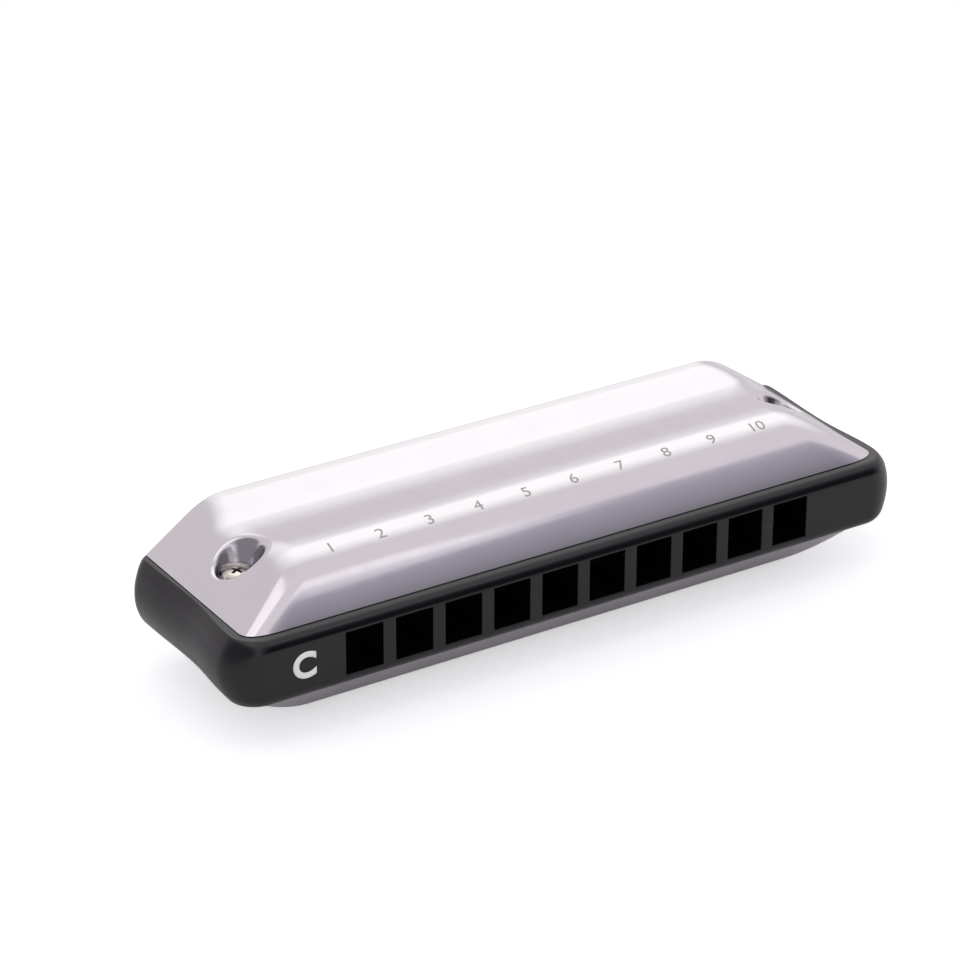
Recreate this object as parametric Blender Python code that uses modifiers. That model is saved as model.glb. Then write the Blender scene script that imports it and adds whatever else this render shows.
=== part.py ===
"""A ten-hole diatonic harmonica, modelled as the pieces that come apart on a bench.

Metres, +Z up. X runs along the ten holes with the low notes at -X, and the mouthpiece faces -Y.
The origin is the middle of the footprint, on the surface that the lower cover rests on.
Distances named "back" are measured from the front face of the comb towards the rear.
"""

import math

import bmesh
import bpy
from mathutils import Matrix, Vector

# Mouthpiece and comb
HOLES = 10
HOLE_PITCH = 0.0075
HOLE_WIDTH = 0.00556
HOLE_HEIGHT = 0.0062
COMB_DEPTH = 0.0304
COMB_END_BLOCK = 0.01597
LIP_RADIUS = 0.0017
REAR_LIP_RADIUS = 0.0008
FRONT_CORNER_RADIUS = 0.005
REAR_CORNER_RADIUS = 0.003
END_BARREL_RADIUS = 0.007
END_HOLLOW = 0.0003
FRONT_FLARE = 0.00045
FLARE_BACK = 0.0155
REAR_WALL = 0.0029
CHAMBER_STEP = 0.00072

# Reed plates
PLATE_THICKNESS = 0.001
PLATE_INSET = 0.0001
PLATE_EDGE_MARGIN = 0.0004
PLATE_REAR_WALL = 0.0014
PLATE_LAP = 0.0016
PLATE_CORNER_RADIUS = 0.0015

# Reeds and their rivets
REED_WIDTH = 0.002
REED_THICKNESS = 0.00025
REED_TIP_TAPER = 0.94
REED_SET = 0.00015
SLOT_CLEARANCE = 0.0001
CHAMBER_MARGIN = 0.0019
PAD_WIDTH = 0.0028
PAD_LENGTH = 0.0032
PAD_THICKNESS = 0.00045
PAD_RAMP = 0.0004
RIVET_RADIUS = 0.00055
RIVET_HEAD_RADIUS = 0.0010
RIVET_HEAD_HEIGHT = 0.00035
RIVET_HOLE_CLEARANCE = 0.00012

# Covers
SHEET = 0.0005
COVER_LEDGE = 0.0003
COVER_END_LEDGE = 0.00075
COVER_REAR_SETBACK = 0.0007
COVER_CROWN = 0.0064
FRONT_SLOPE = math.radians(58)
END_SLOPE = math.radians(35)
FRONT_ROUNDING = 0.0075
END_ROUNDING = 0.0020
VALLEY_DEPTH = 0.00125
VALLEY_FALL = 0.0134
VALLEY_RISE = 0.0059
REAR_CREST = 0.001
HEM_DROP = 0.0003
HEM_LENGTH = 0.0006

# Cover screws, their pressed dimples and their nuts
SCREW_INSET = 0.0062
SCREW_RADIUS = 0.0011
SCREW_HEAD_RADIUS = 0.0021
SCREW_HEAD_HEIGHT = 0.0017
SCREW_HOLE_CLEARANCE = 0.0002
DIMPLE_MARGIN = 0.0004
DIMPLE_WALL = math.radians(10)
NUT_ACROSS_FLATS = 0.004
NUT_THICKNESS = 0.0014

# Reed plate screws
PLATE_SCREW_RADIUS = 0.0006
PLATE_SCREW_HEAD_RADIUS = 0.0013
PLATE_SCREW_HEAD_HEIGHT = 0.0007
PLATE_SCREW_LENGTH = 0.0030
PLATE_SCREW_INSET = 0.0019
PLATE_SCREW_END_INSET = 0.0043

# Clearance between seated pieces, and how far a cutter reaches past what it cuts
SEAT_GAP = 0.0001
REACH = 0.002

# Heights above the middle plane of the comb
RIM = HOLE_HEIGHT / 2 + LIP_RADIUS
PLATE_TOP = RIM - PLATE_INSET
PLATE_UNDERSIDE = PLATE_TOP - PLATE_THICKNESS
POCKET_FLOOR = PLATE_UNDERSIDE - SEAT_GAP
COVER_FOOT = RIM + SEAT_GAP
COVER_TOP = COVER_FOOT + COVER_CROWN
DIMPLE_FLOOR = PLATE_TOP + SEAT_GAP + SHEET

# Half lengths along X
OUTER_HOLE_EDGE = (HOLES - 1) / 2 * HOLE_PITCH + HOLE_WIDTH / 2
COMB_HALF = OUTER_HOLE_EDGE + COMB_END_BLOCK
END_SAG = END_BARREL_RADIUS - math.sqrt(END_BARREL_RADIUS**2 - RIM**2)
COVER_HALF = COMB_HALF - END_SAG - COVER_END_LEDGE
PLATE_HALF = COVER_HALF - SHEET / math.sin(END_SLOPE) - PLATE_EDGE_MARGIN

# Distances back from the front face
COVER_FRONT = LIP_RADIUS + COVER_LEDGE
COVER_REAR = COMB_DEPTH - COVER_REAR_SETBACK
HEM_START = COVER_REAR - HEM_LENGTH
CREST_START = HEM_START - REAR_CREST
VALLEY_BACK = CREST_START - VALLEY_RISE
PLATE_FRONT = COVER_FRONT + SHEET / math.sin(FRONT_SLOPE) + PLATE_EDGE_MARGIN
PLATE_REAR = COMB_DEPTH - PLATE_REAR_WALL
CHAMBER_FRONT = PLATE_FRONT + PLATE_LAP

SCREW_X = COVER_HALF - SCREW_INSET
SCREW_BACK = (COVER_FRONT + COVER_REAR) / 2


def y_at(back):
    """World Y of a distance back from the front face."""
    return back - COMB_DEPTH / 2


def hole_x(hole):
    """Middle of a hole, counted from 0 at the low end."""
    return (hole - (HOLES - 1) / 2) * HOLE_PITCH


def chamber_rear(hole):
    """Chambers get shorter towards the high notes."""
    return COMB_DEPTH - REAR_WALL - hole * CHAMBER_STEP


def tongue_length(hole):
    """A reed and its pad fill the chamber, less a margin at each end."""
    return chamber_rear(hole) - CHAMBER_FRONT - PAD_LENGTH - 2 * CHAMBER_MARGIN


def blow_rivet_back(hole):
    """Blow reeds are riveted at the rear of the chamber."""
    return chamber_rear(hole) - CHAMBER_MARGIN - PAD_LENGTH / 2


def draw_rivet_back(hole):
    """Draw reeds are riveted at the front, all in one row."""
    return CHAMBER_FRONT + CHAMBER_MARGIN + PAD_LENGTH / 2


def clear_scene():
    for obj in list(bpy.data.objects):
        bpy.data.objects.remove(obj)


def new_collection(name):
    collection = bpy.data.collections.new(name)
    bpy.context.scene.collection.children.link(collection)
    return collection


def finish(name, colour, metallic, roughness):
    """A plain finish for one kind of piece."""
    material = bpy.data.materials.new(name)
    material.use_nodes = True
    shader = material.node_tree.nodes["Principled BSDF"]
    shader.inputs["Base Color"].default_value = (*colour, 1)
    shader.inputs["Metallic"].default_value = metallic
    shader.inputs["Roughness"].default_value = roughness
    return material


def new_object(name, mesh, collection):
    obj = bpy.data.objects.new(name, mesh)
    collection.objects.link(obj)
    return obj


def as_cutter(obj):
    obj.hide_render = True
    obj.display_type = "WIRE"
    return obj


def evaluated_mesh(obj, name):
    """The object's mesh with its modifiers applied."""
    bpy.context.view_layer.update()
    graph = bpy.context.evaluated_depsgraph_get()
    mesh = bpy.data.meshes.new_from_object(obj.evaluated_get(graph))
    mesh.name = name
    return mesh


def weld(mesh):
    bm = bmesh.new()
    bm.from_mesh(mesh)
    bmesh.ops.remove_doubles(bm, verts=bm.verts, dist=1e-7)
    bm.to_mesh(mesh)
    bm.free()


def shade_round(mesh):
    mesh.shade_smooth()
    mesh.set_sharp_from_angle(angle=math.radians(35))


def arc(centre_x, centre_y, radius, start, steps=6):
    """A quarter turn, anticlockwise from the start angle in degrees."""
    turn = [math.radians(start + 90 * step / steps) for step in range(steps + 1)]
    return [(centre_x + radius * math.cos(a), centre_y + radius * math.sin(a)) for a in turn]


def circle(centre_x, centre_y, radius, sides=12):
    turn = [math.tau * side / sides for side in range(sides)]
    return [(centre_x + radius * math.cos(a), centre_y + radius * math.sin(a)) for a in turn]


def rectangle(left, front, right, rear):
    return [(left, front), (right, front), (right, rear), (left, rear)]


def plan_outline(half, front, rear, front_radius, rear_radius):
    """A block seen from above, round at its corners, anticlockwise from the middle of its front."""
    outline = arc(half - front_radius, front + front_radius, front_radius, -90)
    outline += arc(half - rear_radius, rear - rear_radius, rear_radius, 0)
    return outline + [(-x, y) for x, y in reversed(outline)]


def waisted_outline(half, front, rear, front_radius, rear_radius, steps=10):
    """As plan_outline, with ends that draw in behind the front corners and stay slightly hollow."""
    flared = half + FRONT_FLARE
    outline = arc(flared - front_radius, front + front_radius, front_radius, -90)
    start = front + front_radius
    reach = rear - rear_radius - start
    flare_reach = y_at(FLARE_BACK) - start
    for step in range(1, steps):
        along = reach * step / steps
        flare = FRONT_FLARE * (1 + math.cos(math.pi * min(along / flare_reach, 1))) / 2
        hollow = END_HOLLOW * math.sin(math.pi * along / reach) ** 2
        outline.append((half + flare - hollow, start + along))
    outline += arc(half - rear_radius, rear - rear_radius, rear_radius, 0)
    return outline + [(-x, y) for x, y in reversed(outline)]


def flat_mesh(name, outlines, thickness):
    """Flat outlines, the later ones holes in the first, given a thickness."""
    curve = bpy.data.curves.new(name, "CURVE")
    curve.dimensions = "2D"
    curve.fill_mode = "BOTH"
    curve.extrude = thickness / 2
    for outline in outlines:
        spline = curve.splines.new("POLY")
        spline.points.add(len(outline) - 1)
        for point, (x, y) in zip(spline.points, outline):
            point.co = (x, y, 0, 1)
        spline.use_cyclic_u = True
    guide = new_object(name, curve, bpy.context.scene.collection)
    mesh = evaluated_mesh(guide, name)
    bpy.data.objects.remove(guide)
    weld(mesh)
    return mesh


def lip_inset(height, radius):
    """How far a rounded edge of the comb has drawn in at a height above or below its middle."""
    above = max(abs(height) - (RIM - radius), 0)
    return radius - math.sqrt(max(radius**2 - above**2, 0))


def comb_section(height):
    """The comb's outline at one height: rounded lips in front and behind, barrelled ends."""
    front = lip_inset(height, LIP_RADIUS)
    rear = lip_inset(height, REAR_LIP_RADIUS)
    end = END_BARREL_RADIUS - math.sqrt(END_BARREL_RADIUS**2 - height**2)
    return waisted_outline(
        COMB_HALF - end,
        y_at(front),
        y_at(COMB_DEPTH - rear),
        FRONT_CORNER_RADIUS - (front + end) / 2,
        REAR_CORNER_RADIUS - (rear + end) / 2,
    )


def lofted_mesh(name, sections):
    """A solid through (height, outline) sections, bottom to top, bridged loop to loop."""
    bm = bmesh.new()
    loops = []
    for height, outline in sections:
        verts = [bm.verts.new((x, y, height)) for x, y in outline]
        loops.append([bm.edges.new(pair) for pair in zip(verts, verts[1:] + verts[:1])])
    for lower, upper in zip(loops, loops[1:]):
        bmesh.ops.bridge_loops(bm, edges=lower + upper)
    bmesh.ops.holes_fill(bm, edges=loops[0] + loops[-1])
    bmesh.ops.recalc_face_normals(bm, faces=bm.faces)
    mesh = bpy.data.meshes.new(name)
    bm.to_mesh(mesh)
    bm.free()
    return mesh


def turned_mesh(name, profile, sides):
    """A profile of (radius, height) points, top to bottom, turned about Z."""
    bm = bmesh.new()
    points = [bm.verts.new((radius, 0, height)) for radius, height in profile]
    for upper, lower in zip(points, points[1:]):
        bm.edges.new((upper, lower))
    mesh = bpy.data.meshes.new(name)
    bm.to_mesh(mesh)
    bm.free()
    guide = new_object(name, mesh, bpy.context.scene.collection)
    screw = guide.modifiers.new("turn", "SCREW")
    screw.steps = screw.render_steps = sides
    screw.use_merge_vertices = True
    screw.merge_threshold = 1e-6
    turned = evaluated_mesh(guide, name)
    bpy.data.objects.remove(guide)
    return turned


def cylinder_cutter(name, radius, x, back, low, high, collection, sides=12):
    """An upright drill, between two heights above the middle plane."""
    mesh = bpy.data.meshes.new(name)
    bm = bmesh.new()
    bmesh.ops.create_cone(
        bm, cap_ends=True, segments=sides, radius1=radius, radius2=radius, depth=high - low
    )
    bm.to_mesh(mesh)
    bm.free()
    cutter = as_cutter(new_object(name, mesh, collection))
    cutter.location = (x, y_at(back), (low + high) / 2)
    return cutter


def subtract(obj, cutter, name):
    cut = obj.modifiers.new(name, "BOOLEAN")
    cut.operation = "DIFFERENCE"
    cut.object = cutter
    return cut


def chamber_cutter(hole, collection):
    """A mouth hole through the front bar, opening into a chamber as tall as the comb."""
    front = y_at(-REACH)
    step = y_at(CHAMBER_FRONT)
    rear = y_at(chamber_rear(hole))
    low = HOLE_HEIGHT / 2
    high = RIM + REACH
    side = [(front, -low), (step, -low), (step, -high), (rear, -high)]
    side += [(y, -z) for y, z in reversed(side)]
    mesh = flat_mesh(f"chamber_{hole + 1:02d}", [side], HOLE_WIDTH)
    # The side view's axes become Y and Z, and its thickness runs along X.
    mesh.transform(Matrix(((0, 0, 1, 0), (1, 0, 0, 0), (0, 1, 0, 0), (0, 0, 0, 1))))
    cutter = as_cutter(new_object(mesh.name, mesh, collection))
    cutter.location.x = hole_x(hole)
    return cutter


def pocket_cutter(name, side, collection):
    """The recess that a reed plate drops into, on the +1 or -1 side of the comb."""
    outline = plan_outline(
        PLATE_HALF + SEAT_GAP,
        y_at(PLATE_FRONT - SEAT_GAP),
        y_at(PLATE_REAR + SEAT_GAP),
        PLATE_CORNER_RADIUS,
        PLATE_CORNER_RADIUS,
    )
    height = RIM + REACH - POCKET_FLOOR
    cutter = as_cutter(new_object(name, flat_mesh(name, [outline], height), collection))
    cutter.location.z = side * (POCKET_FLOOR + height / 2)
    return cutter


def plate_screw_places():
    """(x, back) of the five screws that hold each reed plate: four at the ends, one at the rear."""
    end_x = (OUTER_HOLE_EDGE + SCREW_X) / 2 + PLATE_SCREW_RADIUS
    rows = (PLATE_FRONT + PLATE_SCREW_END_INSET, PLATE_REAR - PLATE_SCREW_END_INSET)
    places = [(end * end_x, back) for end in (-1, 1) for back in rows]
    return places + [(0.0, PLATE_REAR - PLATE_SCREW_INSET)]


def make_comb(material, parts, cutters):
    """The moulded body: ten chambers, a rounded mouthpiece lip and a pocket for each reed plate."""
    flat = RIM - LIP_RADIUS
    lip = [math.radians(90 * step / 4) for step in range(1, 5)]
    upper = [flat / 2, flat] + [flat + LIP_RADIUS * math.sin(turn) for turn in lip]
    heights = [-height for height in reversed(upper)] + [0.0] + upper
    sections = [(height, comb_section(height)) for height in heights]
    comb = new_object("comb", lofted_mesh("comb", sections), parts)
    comb.data.materials.append(material)
    for hole in range(HOLES):
        chamber_cutter(hole, cutters)
    for name, side in (("upper_pocket", 1), ("lower_pocket", -1)):
        pocket_cutter(name, side, cutters)
    for number, (x, back) in enumerate(plate_screw_places(), 1):
        radius = PLATE_SCREW_RADIUS + SEAT_GAP
        cylinder_cutter(f"plate_screw_hole_{number}", radius, x, back, -RIM, RIM, cutters, 8)
    for name, end in (("left_cover_screw_hole", -1), ("right_cover_screw_hole", 1)):
        radius = SCREW_RADIUS + SCREW_HOLE_CLEARANCE
        x = end * SCREW_X
        cylinder_cutter(name, radius, x, SCREW_BACK, -COVER_TOP, COVER_TOP, cutters)
    cut = comb.modifiers.new("chambers_and_pockets", "BOOLEAN")
    cut.operation = "DIFFERENCE"
    cut.operand_type = "COLLECTION"
    cut.collection = cutters
    return comb


def make_reed_plate(name, side, rivet_back, towards, material, parts):
    """A brass plate with a slot for each reed. The slot runs from the pad towards the reed's tip."""
    outlines = [
        plan_outline(
            PLATE_HALF,
            y_at(PLATE_FRONT),
            y_at(PLATE_REAR),
            PLATE_CORNER_RADIUS,
            PLATE_CORNER_RADIUS,
        )
    ]
    half_slot = REED_WIDTH / 2 + SLOT_CLEARANCE
    for hole in range(HOLES):
        x = hole_x(hole)
        y = y_at(rivet_back(hole))
        root = y + towards * (PAD_LENGTH / 2 + SLOT_CLEARANCE)
        tip = y + towards * (PAD_LENGTH / 2 + tongue_length(hole) + SLOT_CLEARANCE)
        near, far = sorted((root, tip))
        outlines.append(rectangle(x - half_slot, near, x + half_slot, far))
        outlines.append(circle(x, y, RIVET_RADIUS + RIVET_HOLE_CLEARANCE, 8))
    for x, back in plate_screw_places():
        outlines.append(circle(x, y_at(back), PLATE_SCREW_RADIUS + SEAT_GAP, 8))
    for end in (-1, 1):
        radius = SCREW_RADIUS + SCREW_HOLE_CLEARANCE
        outlines.append(circle(end * SCREW_X, y_at(SCREW_BACK), radius))
    plate = new_object(name, flat_mesh(name, outlines, PLATE_THICKNESS), parts)
    plate.location.z = side * (PLATE_TOP + PLATE_UNDERSIDE) / 2
    plate.data.materials.append(material)
    return plate


def reed_mesh(hole, drill):
    """A reed lying on its plate, rivet at the origin and tongue towards -Y: a thick pad that
    steps down to a thin tongue, flat underneath."""
    tongue = tongue_length(hole)
    bm = bmesh.new()
    bmesh.ops.create_cube(bm, size=1)
    bmesh.ops.scale(bm, vec=(PAD_WIDTH, PAD_LENGTH, PAD_THICKNESS), verts=bm.verts)
    lift = (PAD_THICKNESS - REED_THICKNESS) / 2
    bmesh.ops.translate(bm, vec=(0, 0, lift), verts=bm.verts)
    end = min(bm.faces, key=lambda face: face.calc_center_median().y)
    sections = (
        (PAD_RAMP, REED_WIDTH / PAD_WIDTH, REED_THICKNESS / PAD_THICKNESS),
        (tongue - PAD_RAMP, REED_TIP_TAPER, 1),
    )
    for length, narrower, thinner in sections:
        made = bmesh.ops.extrude_face_region(bm, geom=[end])
        bmesh.ops.delete(bm, geom=[end], context="FACES")
        corners = [item for item in made["geom"] if isinstance(item, bmesh.types.BMVert)]
        end = next(item for item in made["geom"] if isinstance(item, bmesh.types.BMFace))
        bmesh.ops.translate(bm, vec=(0, -length, 0), verts=corners)
        underneath = Matrix.Translation((0, 0, REED_THICKNESS / 2))
        bmesh.ops.scale(bm, vec=(narrower, 1, thinner), verts=corners, space=underneath)
    bmesh.ops.recalc_face_normals(bm, faces=bm.faces)
    mesh = bpy.data.meshes.new("reed")
    bm.to_mesh(mesh)
    bm.free()
    blank = new_object("reed_blank", mesh, bpy.context.scene.collection)
    subtract(blank, drill, "rivet_hole")
    reed = evaluated_mesh(blank, f"reed_{hole + 1:02d}")
    bpy.data.objects.remove(blank)
    return reed


def rivet_mesh():
    """Lies as a reed does: the head is over the pad, the closed end under the plate."""
    head = PAD_THICKNESS - REED_THICKNESS / 2 + SEAT_GAP
    tail = -REED_THICKNESS / 2 - REED_SET - PLATE_THICKNESS - SEAT_GAP
    profile = [
        (0, head + RIVET_HEAD_HEIGHT),
        (RIVET_HEAD_RADIUS * 0.6, head + RIVET_HEAD_HEIGHT),
        (RIVET_HEAD_RADIUS, head),
        (RIVET_RADIUS, head),
        (RIVET_RADIUS, tail),
        (RIVET_HEAD_RADIUS, tail),
        (RIVET_HEAD_RADIUS * 0.6, tail - RIVET_HEAD_HEIGHT * 0.7),
        (0, tail - RIVET_HEAD_HEIGHT * 0.7),
    ]
    mesh = turned_mesh("rivet", profile, 8)
    shade_round(mesh)
    return mesh


def make_reeds(name, plate_side, rivet_back, turn, reeds, rivet, parts):
    """Both sets of reeds hang under their plates, blow reeds inside and draw reeds outside."""
    plate_face = PLATE_UNDERSIDE if plate_side > 0 else -PLATE_TOP
    height = plate_face - REED_SET - REED_THICKNESS / 2
    for hole in range(HOLES):
        for piece, mesh in ((f"{name}_reed", reeds[hole]), (f"{name}_rivet", rivet)):
            obj = new_object(f"{piece}_{hole + 1:02d}", mesh, parts)
            obj.location = (hole_x(hole), y_at(rivet_back(hole)), height)
            obj.rotation_euler = turn


def smooth_min(a, b, rounding):
    """The lower of two heights, with the corner between them rounded."""
    near = max(rounding - abs(a - b), 0) / rounding
    return min(a, b) - near * near * rounding / 4


def cover_height(x, back):
    """Height of a cover's outer face: a steep front, a ridge, a long fall into a valley, a flat
    rear crest and a turned-down hem, hipped down to the foot at both ends."""
    reach = VALLEY_FALL if back < VALLEY_BACK else VALLEY_RISE
    across = min(abs(back - VALLEY_BACK) / reach, 1)
    hem = max(back - HEM_START, 0) / HEM_LENGTH
    crown = COVER_TOP - VALLEY_DEPTH * (1 + math.cos(math.pi * across)) / 2
    crown -= HEM_DROP * hem * hem
    front = COVER_FOOT + math.tan(FRONT_SLOPE) * (back - COVER_FRONT)
    end = COVER_FOOT + math.tan(END_SLOPE) * (COVER_HALF - abs(x))
    return smooth_min(smooth_min(front, crown, FRONT_ROUNDING), end, END_ROUNDING)


def stations(*stretches):
    """Grid lines: each stretch is (start, end, steps), and the next starts where it ends."""
    lines = [stretches[0][0]]
    for start, end, steps in stretches:
        lines += [start + (end - start) * step / steps for step in range(1, steps + 1)]
    return lines


def cover_stations():
    """Grid lines close together over the slopes and curves, and far apart over the flats."""
    outer = COVER_HALF + REACH
    inner = COVER_HALF - (COVER_CROWN + END_ROUNDING) / math.tan(END_SLOPE)
    ridge = COVER_FRONT + (COVER_CROWN + FRONT_ROUNDING) / math.tan(FRONT_SLOPE)
    across = stations((-outer, -inner, 9), (-inner, inner, 5), (inner, outer, 9))
    along = stations(
        (COVER_FRONT - REACH, COVER_FRONT + REACH, 3),
        (COVER_FRONT + REACH, ridge, 6),
        (ridge, VALLEY_BACK, 7),
        (VALLEY_BACK, CREST_START, 5),
        (CREST_START, HEM_START, 1),
        (HEM_START, COVER_REAR, 3),
        (COVER_REAR, COVER_REAR + REACH, 1),
    )
    return across, along


def pressed_skin():
    """The outer face of a cover as an open surface, its two screw dimples pressed in."""
    across, along = cover_stations()
    bm = bmesh.new()
    bmesh.ops.create_grid(
        bm, x_segments=len(across) - 1, y_segments=len(along) - 1, size=0.5
    )
    for vert in bm.verts:
        x = across[round((vert.co.x + 0.5) * (len(across) - 1))]
        back = along[round((vert.co.y + 0.5) * (len(along) - 1))]
        vert.co = (x, y_at(back), cover_height(x, min(back, COVER_REAR)))
    # Skirted down to a flat bottom, the skin is a block that a punch can be cut from.
    rim = [edge for edge in bm.edges if edge.is_boundary]
    made = bmesh.ops.extrude_edge_only(bm, edges=rim)
    skirt = [item for item in made["geom"] if isinstance(item, bmesh.types.BMVert)]
    for vert in skirt:
        vert.co.z = 0
    bmesh.ops.holes_fill(bm, edges=[edge for edge in bm.edges if edge.is_boundary])
    bmesh.ops.recalc_face_normals(bm, faces=bm.faces)
    mesh = bpy.data.meshes.new("cover_block")
    bm.to_mesh(mesh)
    bm.free()
    block = new_object("cover_block", mesh, bpy.context.scene.collection)
    punches = []
    for end in (-1, 1):
        floor = SCREW_HEAD_RADIUS + DIMPLE_MARGIN
        depth = COVER_TOP + REACH - DIMPLE_FLOOR
        bm = bmesh.new()
        bmesh.ops.create_cone(
            bm,
            cap_ends=True,
            segments=20,
            radius1=floor,
            radius2=floor + depth * math.tan(DIMPLE_WALL),
            depth=depth,
        )
        mesh = bpy.data.meshes.new("dimple_punch")
        bm.to_mesh(mesh)
        bm.free()
        punch = new_object("dimple_punch", mesh, bpy.context.scene.collection)
        punch.location = (end * SCREW_X, y_at(SCREW_BACK), DIMPLE_FLOOR + depth / 2)
        subtract(block, punch, "dimple")
        punches.append(punch)
    skin = evaluated_mesh(block, "cover")
    for helper in [block, *punches]:
        bpy.data.objects.remove(helper)
    bm = bmesh.new()
    bm.from_mesh(skin)
    for point, outward in (
        (Vector((0, 0, COVER_FOOT - SHEET)), Vector((0, 0, -1))),
        (Vector((0, y_at(COVER_REAR), 0)), Vector((0, 1, 0))),
    ):
        whole = bm.verts[:] + bm.edges[:] + bm.faces[:]
        bmesh.ops.bisect_plane(
            bm, geom=whole, dist=1e-7, plane_co=point, plane_no=outward, clear_outer=True
        )
    bmesh.ops.dissolve_degenerate(bm, dist=1e-6, edges=bm.edges)
    bm.to_mesh(skin)
    bm.free()
    return skin


def foot_cutter(name, side, collection):
    """A block that trims a cover's edge flat, where it stands on the rim of the comb."""
    mesh = bpy.data.meshes.new(name)
    bm = bmesh.new()
    bmesh.ops.create_cube(bm, size=1)
    bmesh.ops.scale(bm, vec=(3 * COMB_HALF, 2 * COMB_DEPTH, COVER_FOOT), verts=bm.verts)
    bm.to_mesh(mesh)
    bm.free()
    cutter = as_cutter(new_object(name, mesh, collection))
    cutter.location.z = side * COVER_FOOT / 2
    return cutter


def make_cover(name, side, skin, material, parts, cutters):
    """A pressed sheet steel cover. The lower one is the same pressing, turned over about Y."""
    cover = new_object(name, skin, parts)
    if side < 0:
        cover.rotation_euler = (0, math.pi, 0)
    sheet = cover.modifiers.new("sheet", "SOLIDIFY")
    sheet.thickness = SHEET
    sheet.offset = -1
    sheet.use_even_offset = True
    foot = foot_cutter(f"{name}_foot_trim", side, cutters)
    subtract(cover, foot, "foot")
    for end in ("left", "right"):
        drill = bpy.data.objects[f"{end}_cover_screw_hole"]
        subtract(cover, drill, f"{end}_screw_hole")
    if not skin.materials:
        skin.materials.append(material)
    return cover


def cross_recess_mesh(arm, width, depth):
    """A plus sign, for the driver recess in a screw head."""
    corner = [(arm, -width), (arm, width), (width, width)]
    outline = []
    for quarter in range(4):
        turn = Matrix.Rotation(quarter * math.pi / 2, 2)
        outline += [tuple(turn @ Vector(point)) for point in corner]
    return flat_mesh("cross_recess", [outline], 2 * depth)


def screw_mesh(name, head_radius, head_height, radius, length, sides):
    """A pan-head screw with a cross recess. Its seat is at the origin and it points down."""
    profile = [
        (0, head_height),
        (head_radius * 0.62, head_height),
        (head_radius * 0.9, head_height * 0.72),
        (head_radius, head_height * 0.35),
        (head_radius, 0),
        (radius, 0),
        (radius, radius * 0.6 - length),
        (radius * 0.5, -length),
        (0, -length),
    ]
    blank = new_object(name, turned_mesh(name, profile, sides), bpy.context.scene.collection)
    recess = cross_recess_mesh(head_radius * 0.58, head_radius * 0.11, head_height * 0.5)
    cutter = new_object("cross_recess", recess, bpy.context.scene.collection)
    cutter.location.z = head_height
    subtract(blank, cutter, "cross_recess")
    mesh = evaluated_mesh(blank, name)
    for helper in (blank, cutter):
        bpy.data.objects.remove(helper)
    shade_round(mesh)
    return mesh


def make_plate_screws(material, parts):
    """Five small screws hold each reed plate in its pocket."""
    mesh = screw_mesh(
        "plate_screw",
        PLATE_SCREW_HEAD_RADIUS,
        PLATE_SCREW_HEAD_HEIGHT,
        PLATE_SCREW_RADIUS,
        PLATE_SCREW_LENGTH,
        10,
    )
    mesh.materials.append(material)
    for name, side in (("upper", 1), ("lower", -1)):
        for number, (x, back) in enumerate(plate_screw_places(), 1):
            screw = new_object(f"{name}_plate_screw_{number}", mesh, parts)
            screw.location = (x, y_at(back), side * (PLATE_TOP + SEAT_GAP))
            if side < 0:
                screw.rotation_euler = (math.pi, 0, 0)


def make_cover_screws(material, parts):
    """A screw at each end clamps both covers, through both plates and the comb, into a nut."""
    seat = DIMPLE_FLOOR + SEAT_GAP
    mesh = screw_mesh(
        "cover_screw",
        SCREW_HEAD_RADIUS,
        SCREW_HEAD_HEIGHT,
        SCREW_RADIUS,
        2 * seat + NUT_THICKNESS,
        16,
    )
    mesh.materials.append(material)
    bore = circle(0, 0, SCREW_RADIUS + SEAT_GAP)
    corner = NUT_ACROSS_FLATS / 2 / math.cos(math.pi / 6)
    nut = flat_mesh("cover_nut", [circle(0, 0, corner, 6), bore], NUT_THICKNESS)
    nut.materials.append(material)
    for name, end in (("left", -1), ("right", 1)):
        screw = new_object(f"cover_screw_{name}", mesh, parts)
        screw.location = (end * SCREW_X, y_at(SCREW_BACK), seat)
        fixed = new_object(f"cover_nut_{name}", nut, parts)
        fixed.location = (end * SCREW_X, y_at(SCREW_BACK), -seat - NUT_THICKNESS / 2)


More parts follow.
